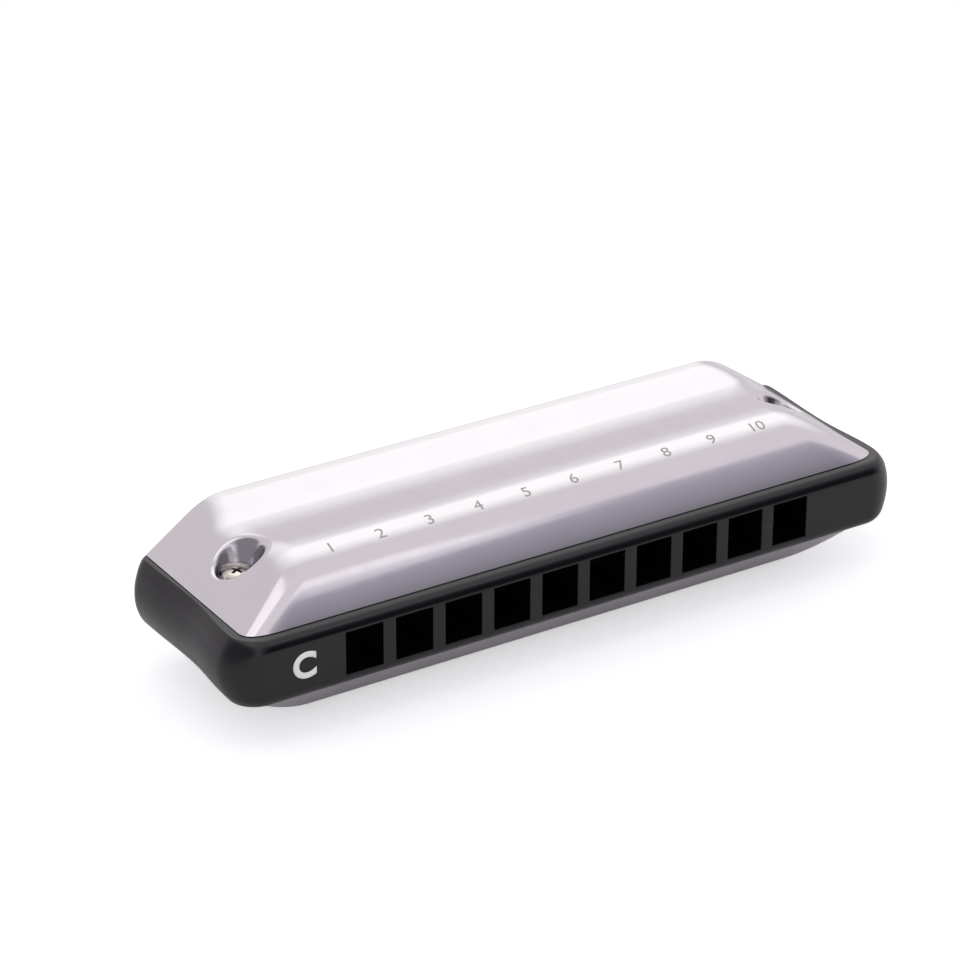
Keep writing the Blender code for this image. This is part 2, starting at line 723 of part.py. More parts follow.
def main():
    clear_scene()
    parts = new_collection("diatonic_harmonica")
    comb_cutters = new_collection("comb_cutters")
    other_cutters = new_collection("other_cutters")
    abs_black = finish("black_abs", (0.022, 0.022, 0.025), 0.0, 0.38)
    steel = finish("stainless_sheet", (0.60, 0.58, 0.59), 1.0, 0.30)
    brass = finish("plate_brass", (0.62, 0.47, 0.20), 1.0, 0.35)
    reed_brass = finish("reed_brass", (0.70, 0.55, 0.26), 1.0, 0.28)
    rivet_brass = finish("rivet_brass", (0.58, 0.44, 0.20), 1.0, 0.33)
    screw_steel = finish("plated_steel", (0.66, 0.65, 0.64), 1.0, 0.22)

    make_comb(abs_black, parts, comb_cutters)
    make_reed_plate("upper_reed_plate", 1, blow_rivet_back, -1, brass, parts)
    make_reed_plate("lower_reed_plate", -1, draw_rivet_back, 1, brass, parts)

    drill = cylinder_cutter(
        "rivet_hole",
        RIVET_RADIUS + RIVET_HOLE_CLEARANCE,
        0,
        COMB_DEPTH / 2,
        -REACH,
        REACH,
        other_cutters,
        8,
    )
    reeds = [reed_mesh(hole, drill) for hole in range(HOLES)]
    for reed in reeds:
        reed.materials.append(reed_brass)
    rivet = rivet_mesh()
    rivet.materials.append(rivet_brass)
    # Turned over about Y a reed keeps its tip at the front, and about X its tip goes to the rear.
    make_reeds("blow", 1, blow_rivet_back, (0, math.pi, 0), reeds, rivet, parts)
    make_reeds("draw", -1, draw_rivet_back, (math.pi, 0, 0), reeds, rivet, parts)

    skin = pressed_skin()
    make_cover("upper_cover", 1, skin, steel, parts, other_cutters)
    make_cover("lower_cover", -1, skin, steel, parts, other_cutters)
    make_plate_screws(screw_steel, parts)
    make_cover_screws(screw_steel, parts)

    # Everything above is modelled about the middle plane of the comb. This lifts it to stand.
    stand = bpy.data.objects.new("middle_plane", None)
    parts.objects.link(stand)
    for obj in [*parts.objects, *comb_cutters.objects, *other_cutters.objects]:
        if obj is not stand:
            obj.parent = stand
    stand.location.z = COVER_TOP


main()
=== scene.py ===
"""Studio scene of a ten-hole diatonic harmonica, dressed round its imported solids.

Metres, +Z up. The mouthpiece faces -Y and the low notes are at -X. Distances named "back" are
measured from the front face of the comb, and "height" from the middle plane of the comb.
"""

import math

import bmesh
import bpy
from bpy.props import FloatProperty, FloatVectorProperty, IntProperty, PointerProperty
from mathutils import Matrix, Vector


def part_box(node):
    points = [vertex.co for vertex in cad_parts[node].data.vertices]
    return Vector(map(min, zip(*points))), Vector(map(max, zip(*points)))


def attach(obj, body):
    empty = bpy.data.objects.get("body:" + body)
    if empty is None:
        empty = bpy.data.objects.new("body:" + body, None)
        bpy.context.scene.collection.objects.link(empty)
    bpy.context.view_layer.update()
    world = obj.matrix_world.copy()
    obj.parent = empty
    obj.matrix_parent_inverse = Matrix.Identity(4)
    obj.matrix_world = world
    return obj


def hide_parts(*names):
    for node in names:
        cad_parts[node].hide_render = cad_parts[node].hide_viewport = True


bl_info = {
    "name": "Diatonic Harmonica",
    "version": (1, 0, 0),
    "blender": (4, 5, 0),
    "location": "View3D > Sidebar > Harmonica",
    "description": "Dresses the solids of a ten-hole harmonica and sets them in a plain studio",
    "category": "Object",
}

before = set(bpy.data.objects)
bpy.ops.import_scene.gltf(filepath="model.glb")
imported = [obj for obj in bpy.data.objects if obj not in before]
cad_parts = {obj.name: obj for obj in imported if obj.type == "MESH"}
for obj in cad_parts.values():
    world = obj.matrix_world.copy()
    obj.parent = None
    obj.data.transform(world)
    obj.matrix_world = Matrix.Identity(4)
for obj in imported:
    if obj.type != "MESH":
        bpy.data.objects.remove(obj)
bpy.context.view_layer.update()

COMB_LOW, COMB_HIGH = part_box("comb")
FRONT_Y = COMB_LOW.y
COMB_DEPTH = COMB_HIGH.y - COMB_LOW.y
MIDDLE_Z = (COMB_LOW.z + COMB_HIGH.z) / 2
RIM = (COMB_HIGH.z - COMB_LOW.z) / 2
SCREW_LOW, SCREW_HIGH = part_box("cover_screw_right")
SCREW_X = (SCREW_LOW.x + SCREW_HIGH.x) / 2
SCREW_BACK = (SCREW_LOW.y + SCREW_HIGH.y) / 2 - FRONT_Y

HOLES = 10
# Clearance of a plate in its pocket, of a screw in its nut and of a cover over the comb.
SEAT_GAP = 0.0001
# How far a cutter runs on past the face that it opens, and half the length of a drill.
REACH = 0.002
DRILL_REACH = 0.02
# Radii of the comb's screw holes: through for the covers, tapped for the plates.
THROUGH_RADIUS = 0.0013
TAPPED_RADIUS = 0.0007
# The plate screws, and how far a cover screw has been turned home.
SMALL_HEAD_RADIUS = 0.0013
SMALL_HEAD_HEIGHT = 0.0007
SMALL_SHANK_RADIUS = 0.0006
SCREW_TURN = math.radians(20)
# Bevel on a nut's edges, and the corner radius of a plate's pocket.
NUT_EDGE = 0.00018
POCKET_CORNER = 0.0015
# Distances closer than this are one point.
TINY = 1e-7


def linear(hex_colour):
    """An sRGB hex value as linear red, green, blue and alpha."""
    parts = [int(hex_colour[start : start + 2], 16) / 255 for start in (1, 3, 5)]
    parts = [p / 12.92 if p <= 0.04045 else ((p + 0.055) / 1.055) ** 2.4 for p in parts]
    return (*parts, 1.0)


def length(name, description, default):
    return FloatProperty(
        name=name, description=description, default=default, unit="LENGTH", precision=5
    )


def angle(name, description, degrees):
    turn = math.radians(degrees)
    return FloatProperty(name=name, description=description, default=turn, subtype="ANGLE")


def share(name, description, default):
    return FloatProperty(
        name=name, description=description, default=default, min=0, max=1, subtype="FACTOR"
    )


def level(name, description, default):
    return FloatProperty(name=name, description=description, default=default, min=0)


def colour(name, description, hex_colour):
    hue = linear(hex_colour)
    return FloatVectorProperty(
        name=name, description=description, default=hue, size=4, subtype="COLOR", min=0, max=1
    )


class HarmonicaCombSettings(bpy.types.PropertyGroup):
    hole_pitch: length("Hole pitch", "Distance between the middles of two holes", 0.0075)
    hole_width: length("Hole width", "Width of a mouth hole", 0.00556)
    hole_height: length("Hole height", "Height of a mouth hole", 0.0062)
    hole_edge: length("Hole edge", "Radius on the edges of a mouth hole", 0.00018)
    lip_radius: length("Lip radius", "Radius of the mouthpiece lips", 0.0017)
    rear_radius: length("Rear radius", "Radius of the comb's rear edges", 0.0008)
    front_corner: length("Front corners", "Corner radius at the front, seen from above", 0.005)
    rear_corner: length("Rear corners", "Corner radius at the rear, seen from above", 0.003)
    end_barrel: length("End barrel", "Radius of the barrelled ends", 0.007)
    end_hollow: length("End hollow", "How far the ends draw in along their middle", 0.0003)
    front_flare: length("Front flare", "How far the front corners stand out past the ends", 0.00045)
    flare_back: length("Flare reach", "Distance back at which the flare has run out", 0.0155)
    chamber_front: length("Chamber start", "Distance back at which a chamber opens up", 0.0045896)
    first_chamber_rear: length("First chamber end", "Distance back of its rear wall", 0.0275)
    chamber_step: length("Chamber step", "How much shorter each next chamber is", 0.00072)
    colour: colour("Plastic", "Colour of the moulded comb", "#0A070B")
    roughness: share("Roughness", "Roughness of the moulded comb", 0.3)


class HarmonicaCoverSettings(bpy.types.PropertyGroup):
    sheet: length("Sheet", "Thickness of the pressed sheet", 0.0005)
    crown: length("Crown", "Height of the crown above the foot", 0.0064)
    front_ledge: length("Front ledge", "Distance back of the front foot", 0.002)
    end_ledge: length("End ledge", "Distance of the end foot from the comb's end", 0.00075)
    rear_setback: length("Rear setback", "Distance of the rear edge from the comb's rear", 0.0007)
    front_slope: angle("Front slope", "Slope of the front at its foot", 58)
    end_slope: angle("End slope", "Slope of the hipped ends", 35)
    front_rounding: length("Front rounding", "Blend between the front slope and the crown", 0.0075)
    end_rounding: length("End rounding", "Blend between the end slopes and the crown", 0.002)
    corner_rounding: length("Corner rounding", "Further blend at the front corners' foot", 0.0016)
    corner_reach: length("Corner reach", "How far back the further blend runs out", 0.012)
    valley_depth: length("Valley depth", "Depth of the valley below the ridge", 0.00125)
    valley_fall: length("Valley fall", "Length of the fall from the ridge to the valley", 0.0134)
    valley_rise: length("Valley rise", "Length of the rise from the valley to the crest", 0.0059)
    rear_crest: length("Rear crest", "Width of the flat rear crest", 0.0013)
    hem_radius: length("Hem radius", "Bend radius of the turned-down rear edge", 0.0003)
    hem_length: length("Hem length", "Straight length of the turned-down rear edge", 0.0007)
    dimple_floor: length("Dimple floor", "Radius of the floor of a screw dimple", 0.0023)
    dimple_wall: angle("Dimple wall", "Lean of a dimple's wall", 16)
    dimple_brow: length("Dimple brow", "Rounding at the top of a dimple", 0.0009)
    screw_hole: length("Screw hole", "Radius of the hole in a dimple's floor", 0.0013)
    colour: colour("Steel", "Colour of the polished steel", "#D3D1D3")
    roughness: share("Roughness", "Roughness of the polished steel", 0.12)


class HarmonicaFastenerSettings(bpy.types.PropertyGroup):
    head_radius: length("Head radius", "Radius of a cover screw's head", 0.0021)
    head_height: length("Head height", "Height of a cover screw's head", 0.0017)
    shank_radius: length("Shank radius", "Radius of a cover screw's shank", 0.0011)
    nut_flats: length("Nut flats", "Width across the flats of a nut", 0.004)
    sides: IntProperty(name="Sides", description="Faces round a screw or rivet", default=48, min=12)
    steel: colour("Plating", "Colour of the plated screws", "#D9D4CC")
    brass: colour("Rivet brass", "Colour of the rivets", "#B99352")


class HarmonicaReedSettings(bpy.types.PropertyGroup):
    plate: colour("Plate brass", "Colour of the reed plates", "#C8A560")
    reed: colour("Reed brass", "Colour of the reeds", "#D6B878")


class HarmonicaMarkSettings(bpy.types.PropertyGroup):
    number_back: length("Number row", "Distance back of the hole numbers", 0.0085)
    number_size: length("Number size", "Height of the hole numbers", 0.002)
    letter_x: length("Letter place", "Place of the key letter along the front", -0.0427)
    letter_size: length("Letter size", "Height of the key letter", 0.0036)
    film: length("Film", "Thickness of the printed ink", 0.00002)
    number_ink: colour("Number ink", "Colour of the hole numbers", "#B3A9A1")
    letter_ink: colour("Letter ink", "Colour of the key letter", "#F8F5F7")


class HarmonicaStageSettings(bpy.types.PropertyGroup):
    floor: colour("Floor", "Colour of the floor", "#E4E1E5")
    floor_reach: length("Floor reach", "Radius of the floor", 0.13)
    floor_seen: share("Floor seen", "Glow of the floor for the camera", 0.5)
    room: share("Room", "Level of the room's even light", 0.85)
    mirrored: level("Mirrored room", "Level of the room in metal", 1.55)
    top_power: level("Top lamp", "Power of the softbox overhead", 0.5)
    edge_power: level("Edge lamp", "Power of the small front softbox", 0.008)


# The room as the metal mirrors it. It is light all round but for a dark doorway low at the front
# right: each stop is a closeness to the middle of the doorway, and a colour. The far left is dim,
# and the softbox behind is a glow. Both set in between two closenesses to their middle.
DOORWAY = (0.510, -0.849, 0.139)
DOORWAY_STOPS = (
    (0.0, "#C7C1C6"),
    (0.4, "#D1CBD1"),
    (0.725, "#D1CBD1"),
    (0.75, "#ABA6B1"),
    (0.8, "#9D98A5"),
    (0.857, "#928D9A"),
    (0.906, "#838089"),
    (0.95, "#505056"),
    (0.985, "#333336"),
)
DIM_SIDE = ((-0.970, -0.171, 0.174), 0.45, 0.75, "#77757C")
GLOW = ((0.4465, 0.532, 0.7193), 0.84, 0.97, "#FFFFFF")
WHITE = (1, 1, 1, 1)
# Place and size of each softbox, which looks at the origin, and the camera.
TOP_SOFTBOX = ((-0.25, -0.08, 0.97), 0.55)
EDGE_SOFTBOX = ((0.145, -0.205, 0.33), 0.085)
CAMERA_PLACE = (-0.254864, -0.395178, 0.257570)
CAMERA_TURN = (63.20314, -0.08718, -32.0708)
CAMERA_LENS = 146.634

# Noise keeps mostly within these limits.
NOISE_SPAN = {"From Min": 0.3, "From Max": 0.7}


def add_node(tree, kind, sockets=None, **settings):
    """One node with its settings. Each socket takes a value, or the output that feeds it."""
    node = tree.nodes.new(kind)
    for name, value in settings.items():
        setattr(node, name, value)
    for socket, value in (sockets or {}).items():
        if isinstance(value, bpy.types.NodeSocket):
            tree.links.new(value, node.inputs[socket])
        else:
            node.inputs[socket].default_value = value
    return node


def start_material(name, **sockets):
    """A material's tree, its shader and its Object coordinates."""
    material = bpy.data.materials.new(name)
    material.use_nodes = True
    tree = material.node_tree
    shader = tree.nodes["Principled BSDF"]
    for socket, value in sockets.items():
        shader.inputs[socket.replace("_", " ")].default_value = value
    place = add_node(tree, "ShaderNodeTexCoord").outputs["Object"]
    return material, tree, shader, place


def shaded(hue, factor):
    return (*(part * factor for part in hue[:3]), 1.0)


def finish(tree, shader, hue, fade, fading, relief, strength, depth):
    """Gives a shader a colour that fades in places, and a fine relief."""
    faded = add_node(
        tree, "ShaderNodeMix", {"Factor": fading, 6: hue, 7: shaded(hue, fade)}, data_type="RGBA"
    )
    bump = add_node(
        tree, "ShaderNodeBump", {"Height": relief, "Strength": strength, "Distance": depth}
    )
    tree.links.new(faded.outputs[2], shader.inputs["Base Color"])
    tree.links.new(bump.outputs["Normal"], shader.inputs["Normal"])


def moulded_abs(settings):
    """Injection-moulded black ABS from a lightly sparked mould. It gives a deep satin black whose
    lip has been polished by playing."""
    hue, roughness = settings.colour, settings.roughness
    material, tree, shader, place = start_material(
        "abs_moulded_black", Base_Color=hue, Roughness=roughness, IOR=1.5
    )
    # Spark texture is about 0.03 mm across. It is drawn at 0.16 mm so that it shows.
    spark = add_node(tree, "ShaderNodeTexNoise", {"Vector": place, "Scale": 1 / 0.00016})
    # Where the melt flowed, the gloss differs in bands a few millimetres wide.
    drawn = add_node(tree, "ShaderNodeMapping", {"Vector": place, "Scale": (0.3, 1, 1)})
    flow = add_node(tree, "ShaderNodeTexNoise", {"Vector": drawn.outputs[0], "Scale": 1 / 0.006})
    bands = add_node(
        tree,
        "ShaderNodeMapRange",
        {
            **NOISE_SPAN,
            "Value": flow.outputs["Fac"],
            "To Min": roughness - 0.02,
            "To Max": roughness + 0.03,
        },
    )
    # Lips polish the first 3 mm.
    back = add_node(tree, "ShaderNodeSeparateXYZ", {"Vector": place}).outputs["Y"]
    polish = add_node(
        tree,
        "ShaderNodeMapRange",
        {
            "Value": back,
            "From Min": FRONT_Y + 0.0002,
            "From Max": FRONT_Y + 0.003,
            "To Min": -0.09,
            "To Max": 0.0,
        },
    )
    rough = add_node(
        tree, "ShaderNodeMath", {0: bands.outputs[0], 1: polish.outputs[0]}, operation="ADD"
    )
    tree.links.new(rough.outputs[0], shader.inputs["Roughness"])
    grain = {"relief": spark.outputs["Fac"], "strength": 0.12, "depth": 0.00002}
    finish(tree, shader, hue, fade=0.6, fading=flow.outputs["Fac"], **grain)
    return material


def polished_sheet(settings):
    """Stainless steel sheet, deep drawn and satin polished from front to rear. It gives soft
    clear reflections with fine draw lines and a few faint finger smudges."""
    hue, roughness = settings.colour, settings.roughness
    material, tree, shader, place = start_material(
        "stainless_sheet_satin", Base_Color=hue, Metallic=1.0, Roughness=roughness
    )
    # Polishing lines are about 0.02 mm apart. They are drawn 0.15 mm apart so that they show.
    drawn = add_node(tree, "ShaderNodeMapping", {"Vector": place, "Scale": (1, 0.02, 0.02)})
    lines = add_node(
        tree,
        "ShaderNodeTexNoise",
        {"Vector": drawn.outputs[0], "Scale": 1 / 0.00015, "Detail": 3.0},
    )
    # Streaks left by the polishing wheel are a few millimetres wide and run the same way.
    wide = add_node(tree, "ShaderNodeMapping", {"Vector": place, "Scale": (1, 0.12, 0.12)})
    streaks = add_node(
        tree,
        "ShaderNodeTexNoise",
        {"Vector": wide.outputs[0], "Scale": 1 / 0.0035, "Detail": 4.0},
    )
    smudge = add_node(
        tree, "ShaderNodeTexNoise", {"Vector": place, "Scale": 1 / 0.009, "Detail": 3.0}
    )
    streaked = add_node(
        tree,
        "ShaderNodeMapRange",
        {
            **NOISE_SPAN,
            "Value": streaks.outputs["Fac"],
            "To Min": roughness - 0.03,
            "To Max": roughness + 0.04,
        },
    )
    lined = add_node(
        tree,
        "ShaderNodeMapRange",
        {**NOISE_SPAN, "Value": lines.outputs["Fac"], "To Min": -0.02, "To Max": 0.02},
    )
    rough = add_node(
        tree, "ShaderNodeMath", {0: streaked.outputs[0], 1: lined.outputs[0]}, operation="ADD"
    )
    tree.links.new(rough.outputs[0], shader.inputs["Roughness"])
    grain = {"relief": lines.outputs["Fac"], "strength": 0.08, "depth": 0.00001}
    finish(tree, shader, hue, fade=0.93, fading=smudge.outputs["Fac"], **grain)
    return material


def worn_metal(name, hue, rough, marks, stretch, fade, relief, tarnish=None):
    """A metal with marks that show in its gloss, relief and colour.

    rough is the least, usual and greatest roughness. marks is how far apart they are, and their
    detail. relief is its strength and depth. tarnish, where there is any, is the size and detail
    of blotches that darken the colour in place of the marks.
    """
    material, tree, shader, place = start_material(
        name, Base_Color=hue, Metallic=1.0, Roughness=rough[1]
    )
    drawn = add_node(tree, "ShaderNodeMapping", {"Vector": place, "Scale": stretch})
    worn = add_node(
        tree,
        "ShaderNodeTexNoise",
        {"Vector": drawn.outputs[0], "Scale": 1 / marks[0], "Detail": marks[1]},
    )
    gloss = add_node(
        tree,
        "ShaderNodeMapRange",
        {**NOISE_SPAN, "Value": worn.outputs["Fac"], "To Min": rough[0], "To Max": rough[2]},
    )
    tree.links.new(gloss.outputs[0], shader.inputs["Roughness"])
    fading = worn
    if tarnish:
        size, detail = tarnish
        fading = add_node(
            tree, "ShaderNodeTexNoise", {"Vector": place, "Scale": 1 / size, "Detail": detail}
        )
    finish(tree, shader, hue, fade, fading.outputs["Fac"], worn.outputs["Fac"], *relief)
    return material


def rolled_brass(settings):
    """Cold-rolled brass plate, lapped flat and a little tarnished. It gives a warm dull gold with
    long rolling lines."""
    # Rolling lines are about 0.05 mm apart. They are drawn 0.2 mm apart so that they show.
    return worn_metal(
        "brass_plate_rolled",
        settings.plate,
        rough=(0.28, 0.34, 0.42),
        marks=(0.0002, 3.0),
        stretch=(0.03, 1, 1),
        fade=0.6,
        relief=(0.1, 0.00002),
        tarnish=(0.007, 4.0),
    )


def ground_brass(settings):
    """Hard spring brass, ground to its pitch across the tongue. It gives a brighter gold with
    cross scratches from the scraper."""
    # Scraper marks are about 0.04 mm apart. They are drawn 0.12 mm apart so that they show.
    return worn_metal(
        "brass_reed_ground",
        settings.reed,
        rough=(0.2, 0.28, 0.4),
        marks=(0.00012, 3.0),
        stretch=(0.08, 1, 0.08),
        fade=0.75,
        relief=(0.15, 0.00002),
    )


def headed_brass(settings):
    """Brass wire, cold headed in a die. It gives a darker smooth gold with small hammer dents."""
    return worn_metal(
        "brass_rivet_headed",
        settings.brass,
        rough=(0.24, 0.3, 0.38),
        marks=(0.0003, 2.0),
        stretch=(1, 1, 1),
        fade=0.7,
        relief=(0.2, 0.00003),
    )


def plated_steel(settings):
    """Turned steel screws with a bright nickel plating. It gives a hard warm glint, rubbed duller
    in spots by the driver."""
    return worn_metal(
        "steel_screw_nickel_plated",
        settings.steel,
        rough=(0.12, 0.16, 0.24),
        marks=(0.0006, 3.0),
        stretch=(1, 1, 1),
        fade=0.8,
        relief=(0.05, 0.00002),
    )


def pad_print(name, ink):
    """Two-part ink laid on by a silicone pad. It gives a dull even film, thin in places."""
    material, tree, shader, place = start_material(name, Base_Color=ink, Roughness=0.5, IOR=1.5)
    film = add_node(tree, "ShaderNodeTexNoise", {"Vector": place, "Scale": 1 / 0.0002})
    thin = film.outputs["Fac"]
    finish(tree, shader, ink, fade=0.8, fading=thin, relief=thin, strength=0.1, depth=0.00001)
    return material


def floor_paper(settings):
    """Matt white background paper. It shows as plain white, and keeps the object's soft shadow."""
    material, tree, shader, place = start_material(
        "paper_background_matt", Base_Color=settings.floor, Roughness=0.9
    )
    fibre = add_node(tree, "ShaderNodeTexNoise", {"Vector": place, "Scale": 1 / 0.0008})
    bump = add_node(
        tree,
        "ShaderNodeBump",
        {"Height": fibre.outputs["Fac"], "Strength": 0.05, "Distance": 0.00002},
    )
    tree.links.new(bump.outputs["Normal"], shader.inputs["Normal"])
    seen = add_node(tree, "ShaderNodeLightPath").outputs["Is Camera Ray"]
    bright = add_node(
        tree, "ShaderNodeMath", {0: seen, 1: settings.floor_seen}, operation="MULTIPLY"
    )
    glow = add_node(tree, "ShaderNodeEmission", {"Strength": bright.outputs[0]})
    both = add_node(tree, "ShaderNodeAddShader", {0: shader.outputs[0], 1: glow.outputs[0]})
    tree.links.new(both.outputs[0], tree.nodes["Material Output"].inputs["Surface"])
    return material


def mesh_from(bm, name):
    mesh = bpy.data.meshes.new(name)
    bm.to_mesh(mesh)
    bm.free()
    return mesh


def guide_object(name, data):
    obj = bpy.data.objects.new(name, data)
    bpy.context.scene.collection.objects.link(obj)
    return obj


def applied(obj, name):
    """The mesh of an object with its modifiers applied. The object itself is removed."""
    bpy.context.view_layer.update()
    graph = bpy.context.evaluated_depsgraph_get()
    mesh = bpy.data.meshes.new_from_object(obj.evaluated_get(graph))
    mesh.name = name
    bpy.data.objects.remove(obj)
    return mesh


def carved(mesh, cutters):
    """A mesh less its cutters, which are used up."""
    block = guide_object("carved_block", mesh)
    helpers = [guide_object(f"cutter_{number}", cutter) for number, cutter in enumerate(cutters)]
    cutter_bin = bpy.data.collections.new("cutters")
    bpy.context.scene.collection.children.link(cutter_bin)
    for helper in helpers:
        bpy.context.scene.collection.objects.unlink(helper)
        cutter_bin.objects.link(helper)
    cut = block.modifiers.new("cut", "BOOLEAN")
    cut.operation = "DIFFERENCE"
    cut.operand_type = "COLLECTION"
    cut.collection = cutter_bin
    cut.solver = "EXACT"
    result = applied(block, mesh.name)
    for helper in helpers:
        bpy.data.objects.remove(helper)
    bpy.data.collections.remove(cutter_bin)
    return result


def seat(name, mesh, material, replaced, body="housing"):
    """A finished mesh as a piece that rides on a body and stands for CAD nodes."""
    piece = guide_object(name, mesh)
    mesh.materials.clear()
    mesh.materials.append(material)
    if replaced:
        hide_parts(*replaced)
    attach(piece, body)
    return piece


def shade_round(mesh, degrees=35):
    mesh.shade_smooth()
    mesh.set_sharp_from_angle(angle=math.radians(degrees))


def arc(centre_x, centre_y, radius, start, steps):
    """A quarter turn, anticlockwise from the start angle in degrees."""
    turn = [math.radians(start + 90 * step / steps) for step in range(steps + 1)]
    return [(centre_x + radius * math.cos(a), centre_y + radius * math.sin(a)) for a in turn]


def box(size, middle):
    bm = bmesh.new()
    bmesh.ops.create_cube(bm, size=1)
    bmesh.ops.scale(bm, vec=size, verts=bm.verts)
    bmesh.ops.translate(bm, vec=middle, verts=bm.verts)
    return bm


def verts_in(geom):
    return {item for item in geom if isinstance(item, bmesh.types.BMVert)}


def edges_in(geom):
    return [item for item in geom if isinstance(item, bmesh.types.BMEdge)]


def extended(bm, edges):
    """Extrudes a line of edges. Gives its new vertices and the line through them."""
    made = bmesh.ops.extrude_edge_only(bm, edges=edges)
    fresh = verts_in(made["geom"])
    return fresh, [edge for edge in edges_in(made["geom"]) if set(edge.verts) <= fresh]


def hole_x(settings, hole):
    return (hole - (HOLES - 1) / 2) * settings.hole_pitch


def lip_inset(height, radius):
    """How far a rounded edge has drawn in at a height above or below the middle."""
    above = max(abs(height) - (RIM - radius), 0)
    return radius - math.sqrt(max(radius**2 - above**2, 0))


def comb_section(settings, height):
    """The comb's outline at one height, anticlockwise from the middle of its front."""
    front = lip_inset(height, settings.lip_radius)
    rear = lip_inset(height, settings.rear_radius)
    end = settings.end_barrel - math.sqrt(settings.end_barrel**2 - height**2)
    half = COMB_HIGH.x - settings.front_flare - end
    front_corner = settings.front_corner - (front + end) / 2
    rear_corner = settings.rear_corner - (rear + end) / 2
    flared = half + settings.front_flare
    outline = arc(flared - front_corner, FRONT_Y + front + front_corner, front_corner, -90, 16)
    start = FRONT_Y + front + front_corner
    reach = COMB_HIGH.y - rear - rear_corner - start
    flare_reach = FRONT_Y + settings.flare_back - start
    steps = 24
    for step in range(1, steps):
        along = reach * step / steps
        flare = settings.front_flare * (1 + math.cos(math.pi * min(along / flare_reach, 1))) / 2
        hollow = settings.end_hollow * math.sin(math.pi * along / reach) ** 2
        outline.append((half + flare - hollow, start + along))
    outline += arc(half - rear_corner, COMB_HIGH.y - rear - rear_corner, rear_corner, 0, 12)
    return outline + [(-x, y) for x, y in reversed(outline)]


def comb_block(settings):
    """The moulding before its chambers, bridged section to section from bottom to top."""
    lip, rear, steps = settings.lip_radius, settings.rear_radius, 9
    upper = {0.0, 0.001, 0.002, RIM - lip}
    for radius in (lip, rear):
        turns = [math.radians(90 * step / steps) for step in range(1, steps + 1)]
        upper |= {round(RIM - radius + radius * math.sin(turn), 8) for turn in turns}
    heights = sorted({-height for height in upper} | upper)
    # Levels closer than 0.02 mm count as one.
    heights = [h for h, after in zip(heights, heights[1:] + [1]) if after - h > 2e-5]
    bm = bmesh.new()
    loops = []
    for height in heights:
        verts = [bm.verts.new((x, y, height)) for x, y in comb_section(settings, height)]
        loops.append([bm.edges.new(pair) for pair in zip(verts, verts[1:] + verts[:1])])
    for lower, higher in zip(loops, loops[1:]):
        bmesh.ops.bridge_loops(bm, edges=lower + higher)
    bmesh.ops.holes_fill(bm, edges=loops[0] + loops[-1])
    bmesh.ops.recalc_face_normals(bm, faces=bm.faces)
    return mesh_from(bm, "comb")


def drawn_out(bm, face, offset, wider=0.0, taller=0.0):
    """A face drawn out by an offset, its rim moved outwards by wider in X and taller in Z."""
    made = bmesh.ops.extrude_face_region(bm, geom=[face])
    bmesh.ops.delete(bm, geom=[face], context="FACES_ONLY")
    corners = list(verts_in(made["geom"]))
    face = next(item for item in made["geom"] if isinstance(item, bmesh.types.BMFace))
    centre = face.calc_center_median()
    for corner in corners:
        corner.co.x += wider * (1 if corner.co.x > centre.x else -1)
        corner.co.z += taller * (1 if corner.co.z > centre.z else -1)
    bmesh.ops.translate(bm, vec=offset, verts=corners)
    return face


def chamber_cutter(settings, hole):
    """A chamber as tall as the comb, its passage to the mouth, and the rounded edge of the hole."""
    rear = settings.first_chamber_rear - hole * settings.chamber_step
    start = settings.chamber_front
    tall = 2 * (RIM + REACH)
    middle = (hole_x(settings, hole), FRONT_Y + (start + rear) / 2, 0)
    bm = box((settings.hole_width, rear - start, tall), middle)
    front = min(bm.faces, key=lambda face: face.calc_center_median().y)
    edge = settings.hole_edge
    front = drawn_out(bm, front, (0, 0, 0), 0, settings.hole_height / 2 - tall / 2)
    front = drawn_out(bm, front, (0, edge - start, 0))
    turns = [math.radians(90 * step / 4) for step in range(5)]
    for before, after in zip(turns, turns[1:]):
        outwards = edge * (math.cos(before) - math.cos(after))
        forwards = edge * (math.sin(before) - math.sin(after))
        front = drawn_out(bm, front, (0, forwards, 0), outwards, outwards)
    drawn_out(bm, front, (0, -REACH, 0))
    bmesh.ops.recalc_face_normals(bm, faces=bm.faces)
    return mesh_from(bm, f"chamber_{hole + 1:02d}")


def pocket_cutter(node, side):
    """The recess that a reed plate drops into, on the +1 or -1 side of the comb."""
    low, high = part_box(node)
    floor = (low.z if side > 0 else high.z) - MIDDLE_Z - side * SEAT_GAP
    top = side * (RIM + REACH)
    size = (high.x - low.x + 2 * SEAT_GAP, high.y - low.y + 2 * SEAT_GAP, abs(top - floor))
    bm = box(size, ((low.x + high.x) / 2, (low.y + high.y) / 2, (top + floor) / 2))
    upright = [e for e in bm.edges if abs(e.verts[0].co.z - e.verts[1].co.z) > SEAT_GAP]
    bmesh.ops.bevel(
        bm, geom=upright, offset=POCKET_CORNER, segments=6, profile=0.5, affect="EDGES", material=-1
    )
    return mesh_from(bm, "pocket")


def drill(x, y, radius, sides=32):
    """An upright cylinder that cuts a round hole right through."""
    depth = 2 * DRILL_REACH
    bm = bmesh.new()
    bmesh.ops.create_cone(
        bm, cap_ends=True, segments=sides, radius1=radius, radius2=radius, depth=depth
    )
    bmesh.ops.translate(bm, vec=(x, y, 0), verts=bm.verts)
    return mesh_from(bm, "drill")


def centre_of(node):
    low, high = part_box(node)
    return (low.x + high.x) / 2, (low.y + high.y) / 2


